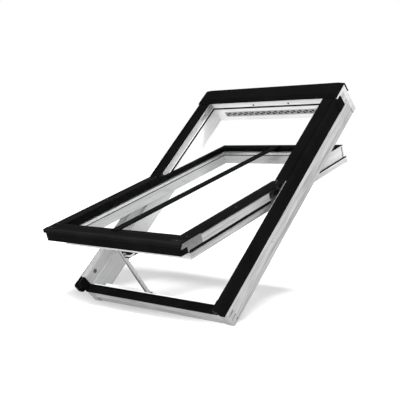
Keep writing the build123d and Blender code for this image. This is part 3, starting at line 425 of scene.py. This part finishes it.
# Planes and edges that the small pieces sit on, in metres
JAMB_SIDE = 0.3885
PROFILE_INNER = 0.3619
REVEAL_HALF = 0.3470
REVEAL_LOW = 0.6400
HEAD_FACE = 1.1110
COVER_HALF = 0.3745
COVER_FACE = 0.0680
HINGE_SIDE = 0.3409
STILE_SIDE = 0.3368

# Shared sizes: how far small pieces sink in, top and flank of the raised trim, end of the plugs
SINK = 0.0001
TRIM_TOP = 0.0694
TRIM_FLANK = 0.0012
PLUG_END = -0.0002
SIDES = ((-1, "left"), (1, "right"))


def place(matrix, axis, pair, depth):
    """A point of an outline: the pair lies across the axis, the depth along it."""
    local = list(pair)
    local.insert("uvw".index(axis), depth)
    return matrix @ Vector(local)


def prism(shape, matrix, axis, outline, span):
    """Add a solid with the given outline, from one depth to another along an axis."""
    ends = [[shape.verts.new(place(matrix, axis, pair, depth)) for pair in outline] for depth in span]
    shape.faces.new(ends[0])
    shape.faces.new(ends[1])
    count = len(outline)
    for number in range(count):
        follower = (number + 1) % count
        shape.faces.new((ends[0][number], ends[0][follower], ends[1][follower], ends[1][number]))


def head(shape, matrix, axis, centre, base, height, radius):
    """Add a domed screw or rivet head with a cross recess; a negative height faces the other way."""
    # Each ring: share of the radius, share of the height, and whether the cross shapes it
    sides = 16
    cross = (1.0, 0.36, 0.36, 0.36)
    rings = ((1.0, 0.0, False), (1.0, 0.45, False), (0.78, 0.85, False), (0.6, 1.0, True), (0.5, 0.5, True))
    loops = []
    for size, rise, crossed in rings:
        loop = []
        for number in range(sides):
            reach = radius * size * (cross[number % len(cross)] if crossed else 1.0)
            turn = math.tau * number / sides
            pair = (centre[0] + reach * math.cos(turn), centre[1] + reach * math.sin(turn))
            loop.append(shape.verts.new(place(matrix, axis, pair, base + height * rise)))
        loops.append(loop)
    shape.faces.new(loops[0])
    shape.faces.new(loops[-1])
    for below, above in zip(loops, loops[1:]):
        for number in range(sides):
            follower = (number + 1) % sides
            shape.faces.new((below[number], below[follower], above[follower], above[number]))


def piece(name, shape, body, look, edge=0.0):
    """Turn a shape into an object that rides on a body, with softened edges."""
    bmesh.ops.recalc_face_normals(shape, faces=shape.faces)
    mesh = bpy.data.meshes.new(name)
    shape.to_mesh(mesh)
    shape.free()
    mesh.materials.append(looks[look])
    item = bpy.data.objects.new(name, mesh)
    scene.collection.objects.link(item)
    if edge:
        soften = item.modifiers.new("edges", "BEVEL")
        soften.width = edge
        soften.segments = 2
        soften.limit_method = "ANGLE"
        soften.angle_limit = math.radians(30.0)
    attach(item, body)
    return item


def flipped(outline, side):
    """An outline whose first coordinate is mirrored for the left side."""
    return [(side * first, second) for first, second in outline]


def rectangle(first_range, second_range):
    """The outline of a rectangle."""
    low, high = first_range
    near, far = second_range
    return [(low, near), (high, near), (high, far), (low, far)]


def ridge(low, high):
    """The outline of a bead on the outer faces of the sash covers."""
    base = COVER_FACE - SINK
    return [(low, base), (low + TRIM_FLANK, TRIM_TOP), (high - TRIM_FLANK, TRIM_TOP), (high, base)]


# Sill cladding: folded sheet with a hem in front, a raised edge behind and an upstand at each end
SILL_HALF = 0.3617
SILL_FACE = 0.0100
SILL_LAP = 0.0095
SILL_FRONT = -0.0152
SHEET = 0.0015
shape = bmesh.new()
sheet = [
    (SILL_FRONT, 0.0066), (SILL_FRONT, 0.0088), (-0.0142, SILL_FACE), (0.0165, SILL_FACE), (0.0180, 0.0132),
    (0.0225, 0.0132), (0.0225, 0.0080), (SILL_FRONT + SHEET, 0.0080), (SILL_FRONT + SHEET, 0.0066),
]
prism(shape, WINDOW, "u", sheet, (-SILL_HALF, SILL_HALF))
foot = [(-0.0150, SILL_LAP), (0.0222, SILL_LAP)]
left_upstand = foot + [(0.0222, 0.0540), (0.0150, 0.0600), (-0.0020, 0.0600), (-0.0150, 0.0480)]
right_upstand = foot + [(0.0222, 0.0240), (-0.0080, 0.0240), (-0.0150, 0.0180)]
prism(shape, WINDOW, "u", left_upstand, (-SILL_HALF, SHEET - SILL_HALF))
prism(shape, WINDOW, "u", right_upstand, (SILL_HALF - SHEET, SILL_HALF))
for side, word in SIDES:
    head(shape, WINDOW, "w", (side * 0.2810, 0.0120), SILL_FACE, height=0.0012, radius=0.0032)
sill_sheet = piece("sill_sheet", shape, "frame", "black_cladding", edge=0.0004)
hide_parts("sill_cladding")

# Left end plug: a tall block inside the side profile, its thin inner plate, and a hook at the outer side
shape = bmesh.new()
block = [
    (-0.0170, 0.0320), (-0.0200, 0.0400), (-0.0170, 0.0560), (-0.0100, 0.0615), (0.0185, 0.0615),
    (0.0225, 0.0575), (0.0225, 0.0482), (PLUG_END, 0.0482), (PLUG_END, 0.0260), (-0.0120, 0.0260),
]
prism(shape, WINDOW, "u", block, (-0.3700, -PROFILE_INNER))
inner_plate = [
    (-0.0200, 0.0330), (-0.0200, 0.0540), (-0.0150, 0.0590), (0.0160, 0.0590), (0.0190, 0.0560),
    (0.0190, 0.0510), (-0.0030, 0.0510), (-0.0030, 0.0300), (-0.0160, 0.0300),
]
prism(shape, WINDOW, "u", inner_plate, (-PROFILE_INNER, -0.3608))
hook = [
    (-0.0240, 0.0590), (PLUG_END, 0.0585), (PLUG_END, 0.0310), (-0.0165, 0.0285), (-0.0170, 0.0180),
    (-0.0145, 0.0110), (-0.0180, 0.0085), (-0.0225, 0.0110), (-0.0262, 0.0170), (-0.0262, 0.0300),
]
prism(shape, WINDOW, "u", hook, (-JAMB_SIDE, -0.3768))
plug_left = piece("end_plug_left", shape, "frame", "black_plastic", edge=0.0008)
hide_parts("profile_end_cap_left")

# Right end plug: low, with a tongue on the profile
shape = bmesh.new()
low_block = [
    (-0.0235, 0.0245), (-0.0235, 0.0460), (PLUG_END, 0.0460), (PLUG_END, 0.0200), (-0.0190, 0.0200),
]
prism(shape, WINDOW, "u", low_block, (PROFILE_INNER, JAMB_SIDE))
prism(shape, WINDOW, "u", rectangle((-0.0050, 0.0220), (0.0482, 0.0497)), (PROFILE_INNER, 0.3775))
plug_right = piece("end_plug_right", shape, "frame", "black_plastic", edge=0.0005)
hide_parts("profile_end_cap_right")

# End grain of the sill tenons, set back in the jambs, drawn dark: darker end grain and painted shade of the
# recess
TENON_HALF = 0.0026
shape = bmesh.new()
for side, word in SIDES:
    for tenon_w in (-0.0235, -0.0445):
        bar = rectangle((0.0025, 0.0325), (tenon_w - TENON_HALF, tenon_w + TENON_HALF))
        prism(shape, WINDOW, "u", bar, (side * 0.3858, side * 0.3868))
piece("tenon_ends", shape, "frame", "end_grain_and_shade", edge=0.0003)

# Small screws in the outer face of the sill
shape = bmesh.new()
for side, word in SIDES:
    head(shape, WINDOW, "v", (side * 0.3490, -0.0705), base=0.0031, height=-0.0012, radius=0.0034)
for centre in ((-0.116, -0.0040), (-0.119, -0.0345)):
    head(shape, WINDOW, "v", centre, SINK, height=-0.0008, radius=0.0022)
piece("sill_screws", shape, "frame", "dark_steel")

# Pleated filter behind the air-inlet grille; its near-black colour is painted shade inside the inlet
FILTER_HALF = 0.2870
FILTER_FACE = HEAD_FACE + 0.00155
FILTER_BACK = HEAD_FACE + 0.00225
PLEAT_DEPTH = 0.0004
PLEATS = 146
shape = bmesh.new()
pleat_pitch = 2 * FILTER_HALF / PLEATS
folds = [
    (number * pleat_pitch - FILTER_HALF, FILTER_FACE + PLEAT_DEPTH * (number % 2))
    for number in range(PLEATS + 1)
]
back = [(FILTER_HALF, FILTER_BACK), (-FILTER_HALF, FILTER_BACK)]
prism(shape, WINDOW, "w", folds + back, (-0.0475, -0.0265))
piece("inlet_filter", shape, "frame", "filter_fleece_shaded")

# Rubber feet of the upper seals, on the faces of the head and the jambs
FOOT_TOP = 0.0026
FOOT_BACK = -0.0030
FOOT_THICK = 0.0018
FOOT_THIN = 0.0010
shape = bmesh.new()
for_head = [
    (HEAD_FACE - FOOT_THICK, FOOT_TOP), (HEAD_FACE + SINK, FOOT_TOP),
    (HEAD_FACE + SINK, FOOT_BACK), (HEAD_FACE - FOOT_THIN, FOOT_BACK),
]
prism(shape, WINDOW, "u", for_head, (-REVEAL_HALF, REVEAL_HALF))
for_jamb = [
    (REVEAL_HALF - FOOT_THICK - SINK, FOOT_TOP), (REVEAL_HALF + SINK, FOOT_TOP),
    (REVEAL_HALF + SINK, FOOT_BACK), (REVEAL_HALF - FOOT_THIN, FOOT_BACK),
]
for side, word in SIDES:
    prism(shape, WINDOW, "v", flipped(for_jamb, side), (REVEAL_LOW, HEAD_FACE + SINK))
piece("upper_seal_feet", shape, "frame", "black_rubber", edge=0.0003)

# Seals under the sash shoulders, with a lip that laps up over the edge
lip = [
    (0.3550, 0.0092), (0.3578, 0.0092), (0.3588, 0.0108), (0.3590, 0.0150), (0.3583, 0.0192),
    (0.3571, 0.0192), (0.3571, 0.0136), (0.3550, 0.0136),
]
for side, word in SIDES:
    shape = bmesh.new()
    prism(shape, SASH, "v", flipped(lip, side), (0.0240, 0.5098))
    piece("shoulder_seal_" + word, shape, "sash", "black_rubber", edge=0.0004)

# Trim of the lower covers: nose strip, drip bead, beads round the glass and plates at the corners, in a
# lighter black as painted highlight
shape = bmesh.new()
nose = [
    (-0.0312, 0.0600), (-0.0312, 0.0672), (-0.0302, 0.0684), (-0.0200, 0.0684), (-0.0200, 0.0679),
    (-0.0222, 0.0672), (-0.0305, 0.0590),
]
prism(shape, SASH, "u", nose, (-COVER_HALF, COVER_HALF))
drip_bead = [(-0.0308, 0.0530), (-0.0323, 0.0538), (-0.0323, 0.0560), (-0.0308, 0.0568)]
prism(shape, SASH, "u", drip_bead, (-COVER_HALF, COVER_HALF))
corner_plate = [(0.3070, -0.0030), (0.3740, -0.0050), (0.3740, -0.0195), (0.3270, -0.0195)]
for side, word in SIDES:
    prism(shape, SASH, "u", ridge(0.0165, 0.0218), (side * 0.0210, side * 0.3325))
    prism(shape, SASH, "v", flipped(ridge(0.3275, 0.3325), side), (0.0165, 0.5950))
    prism(shape, SASH, "w", flipped(corner_plate, side), (COVER_FACE + 2 * SINK, TRIM_TOP))
piece("cover_trim", shape, "sash", "cladding_highlight", edge=0.0004)

# Screws of the corner plates and of the side covers
SCREW_RISE = 0.0012
SCREW_RADIUS = 0.0030
shape = bmesh.new()
for side, word in SIDES:
    head(shape, SASH, "w", (side * 0.3430, -0.0110), TRIM_TOP, SCREW_RISE, SCREW_RADIUS)
    for screw_v in (0.0300, 0.3100, 0.5700):
        head(shape, SASH, "w", (side * 0.3520, screw_v), COVER_FACE, SCREW_RISE, SCREW_RADIUS)
piece("cover_screws", shape, "sash", "black_screw")


def arc(centre, radii, first, last, steps=8):
    """Points of an elliptical arc, between two angles in half turns."""
    angles = [math.pi * (first + (last - first) * step / steps) for step in range(steps + 1)]
    across, along = centre
    wide, high = radii
    return [(across + wide * math.cos(angle), along + high * math.sin(angle)) for angle in angles]


# Hinge details on the sash: rivets and a curved leaf on each side plate
LEAF_CENTRE = (0.5580, 0.0300)
leaf = arc(LEAF_CENTRE, (0.0150, 0.0120), 0.4, 1.6) + arc(LEAF_CENTRE, (0.0105, 0.0080), 1.6, 0.4)
for side, word in SIDES:
    shape = bmesh.new()
    for centre in ((0.5165, 0.0225), (0.5185, 0.0410), (0.5440, 0.0400), (0.5470, 0.0215)):
        head(shape, SASH, "u", centre, side * HINGE_SIDE, height=side * 0.0013, radius=0.0032)
    prism(shape, SASH, "u", leaf, (side * HINGE_SIDE, side * (HINGE_SIDE + 0.0012)))
    piece("hinge_rivets_" + word, shape, "sash", "dark_steel")

# Black strip at the upper end of each stile: painted shade along the stile's end face
shape = bmesh.new()
end_strip = rectangle((1.0865, 1.0900), (0.0, 0.0500))
for side, word in SIDES:
    prism(shape, SASH, "u", end_strip, (side * STILE_SIDE, side * (STILE_SIDE + 0.0012)))
piece("stile_end_shade_strips", shape, "sash", "black_rubber", edge=0.0003)

# Return spring in front of the release handle
HANDLE_AXIS = (-0.0240, -0.0480)
COIL_RADIUS = 0.0065
COIL_START = 0.0540
COIL_PITCH = 0.0011
COIL_TURNS = 3
POINTS_PER_TURN = 14
spring_data = bpy.data.curves.new("handle_spring", "CURVE")
spring_data.dimensions = "3D"
spring_data.bevel_depth = 0.0006
coil = spring_data.splines.new("POLY")
coil.points.add(COIL_TURNS * POINTS_PER_TURN)
for number, point in enumerate(coil.points):
    turns = number / POINTS_PER_TURN
    angle = math.tau * turns
    pair = (HANDLE_AXIS[0] + COIL_RADIUS * math.cos(angle), HANDLE_AXIS[1] + COIL_RADIUS * math.sin(angle))
    point.co = (*place(SASH, "v", pair, COIL_START - COIL_PITCH * turns), 1.0)
spring_data.materials.append(looks["steel"])
spring = bpy.data.objects.new("handle_spring", spring_data)
scene.collection.objects.link(spring)
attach(spring, "release_handle")

# Cap screw in the middle of the spring
shape = bmesh.new()
head(shape, SASH, "v", HANDLE_AXIS, base=0.0546, height=-0.0045, radius=0.0045)
piece("handle_screw", shape, "release_handle", "dark_steel")

# Floor: pale, with painted light: a glow that grows between two distances from a point under the window and
# whitens the floor and the object's shadows further out
FLOOR_HALF = 30.0
FLOOR_GAP = 0.0005
GLOW_SHIFT = (0.15, -0.94, 0.0)
GLOW_SCALE = (1.0, 1.2, 0.0)
GLOW_REACH = (0.86, 1.13)
GLOW_STRENGTH = (0.2, 1.0)
floor_z = cad_box[0][2] - FLOOR_GAP
floor_corners = [(*pair, floor_z) for pair in rectangle((-FLOOR_HALF, FLOOR_HALF), (-FLOOR_HALF, FLOOR_HALF))]
floor_mesh = bpy.data.meshes.new("floor")
floor_mesh.from_pydata(floor_corners, [], [(0, 1, 2, 3)])
floor = bpy.data.objects.new("floor", floor_mesh)
scene.collection.objects.link(floor)
floor_material, floor_tree, floor_shader = surface("floor", grey(0.7), 0.9, specular=0.05)
floor_output = floor_tree.nodes["Material Output"]
glow = floor_tree.nodes.new("ShaderNodeEmission")
floor_place = floor_tree.nodes.new("ShaderNodeTexCoord")
around = floor_tree.nodes.new("ShaderNodeMapping")
around.inputs["Location"].default_value = GLOW_SHIFT
around.inputs["Scale"].default_value = GLOW_SCALE
floor_tree.links.new(floor_place.outputs["Object"], around.inputs["Vector"])
distance = node_of(floor_tree, "ShaderNodeVectorMath", operation="LENGTH")
floor_tree.links.new(around.outputs["Vector"], distance.inputs[0])
spread = map_range(floor_tree, distance.outputs["Value"], GLOW_REACH, GLOW_STRENGTH, "SMOOTHSTEP")
scaled_glow = node_of(floor_tree, "ShaderNodeMath", operation="MULTIPLY")
floor_tree.links.new(seen_rays(floor_tree), scaled_glow.inputs[0])
floor_tree.links.new(spread, scaled_glow.inputs[1])
floor_tree.links.new(scaled_glow.outputs["Value"], glow.inputs["Strength"])
both = floor_tree.nodes.new("ShaderNodeAddShader")
floor_tree.links.new(floor_shader.outputs["BSDF"], both.inputs[0])
floor_tree.links.new(glow.outputs["Emission"], both.inputs[1])
floor_tree.links.new(both.outputs["Shader"], floor_output.inputs["Surface"])
floor_mesh.materials.append(floor_material)

# World: even light, and white where it is seen, mirrored or looked at through glass
SKY_STRENGTH = (0.5, 1.0)
world = bpy.data.worlds.new("world")
scene.world = world
world.use_nodes = True
world_tree = world.node_tree
sky = world_tree.nodes["Background"]
sky_strength = map_range(world_tree, seen_rays(world_tree), target=SKY_STRENGTH)
world_tree.links.new(sky_strength, sky.inputs["Strength"])
sky.inputs["Color"].default_value = WHITE


def lamp(name, position, target, size, power):
    """A round soft lamp that faces a target."""
    data = bpy.data.lights.new(name, "AREA")
    data.shape = "DISK"
    data.size = size
    data.energy = power
    item = bpy.data.objects.new(name, data)
    item.location = position
    item.rotation_euler = (Vector(target) - Vector(position)).to_track_quat("-Z", "Y").to_euler()
    scene.collection.objects.link(item)


MIDDLE = (0.0, 0.4, 0.35)
UPPER_MIDDLE = (0.0, 0.7, 0.7)
lamp("key", (1.45, 1.0, 3.5), MIDDLE, size=0.7, power=135.0)
lamp("fill", (0.3, -3.4, 0.9), MIDDLE, size=2.0, power=110.0)
lamp("side", (3.4, 0.2, 2.4), UPPER_MIDDLE, size=1.6, power=55.0)

scene.view_settings.view_transform = "Standard"
